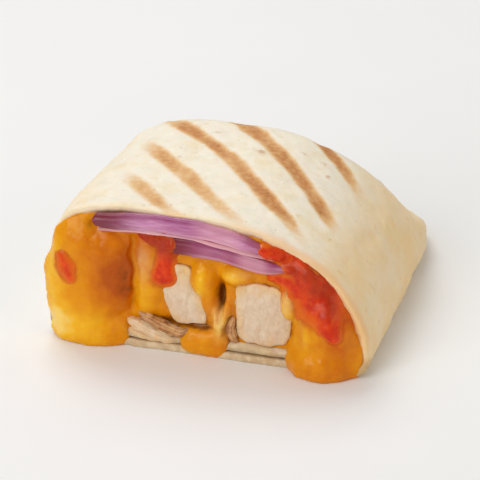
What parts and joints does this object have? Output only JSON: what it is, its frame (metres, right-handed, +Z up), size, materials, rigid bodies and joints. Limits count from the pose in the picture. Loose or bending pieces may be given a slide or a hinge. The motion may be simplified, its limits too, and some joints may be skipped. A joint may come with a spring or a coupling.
{
  "type": "buffalo chicken wrap",
  "caption": "Cut half of a grilled flour tortilla wrap filled with chicken, red onion, hot sauce and melted cheese that runs out of the cut face; the far end is folded shut.",
  "frame": {"origin": "middle of the box's underside, on the surface that the wrap lies on", "axes": "+Z up; the cut face looks towards -Y and the folded end lies towards +Y"},
  "size_m": [0.0912, 0.1, 0.0446],
  "materials": {
    "tortilla": "dry toasted flour tortilla with brown grill stripes",
    "cheese": "glossy melted cheese mixed with hot sauce",
    "chicken": "moist fibrous cooked chicken",
    "onion": "wet sliced red onion"
  },
  "bodies": {
    "root": {"tortilla": "tortilla", "cheese": "cheese", "chicken_left": "chicken", "chicken_right": "chicken", "onion_upper": "onion", "onion_lower": "onion"}
  },
  "joints": []
}
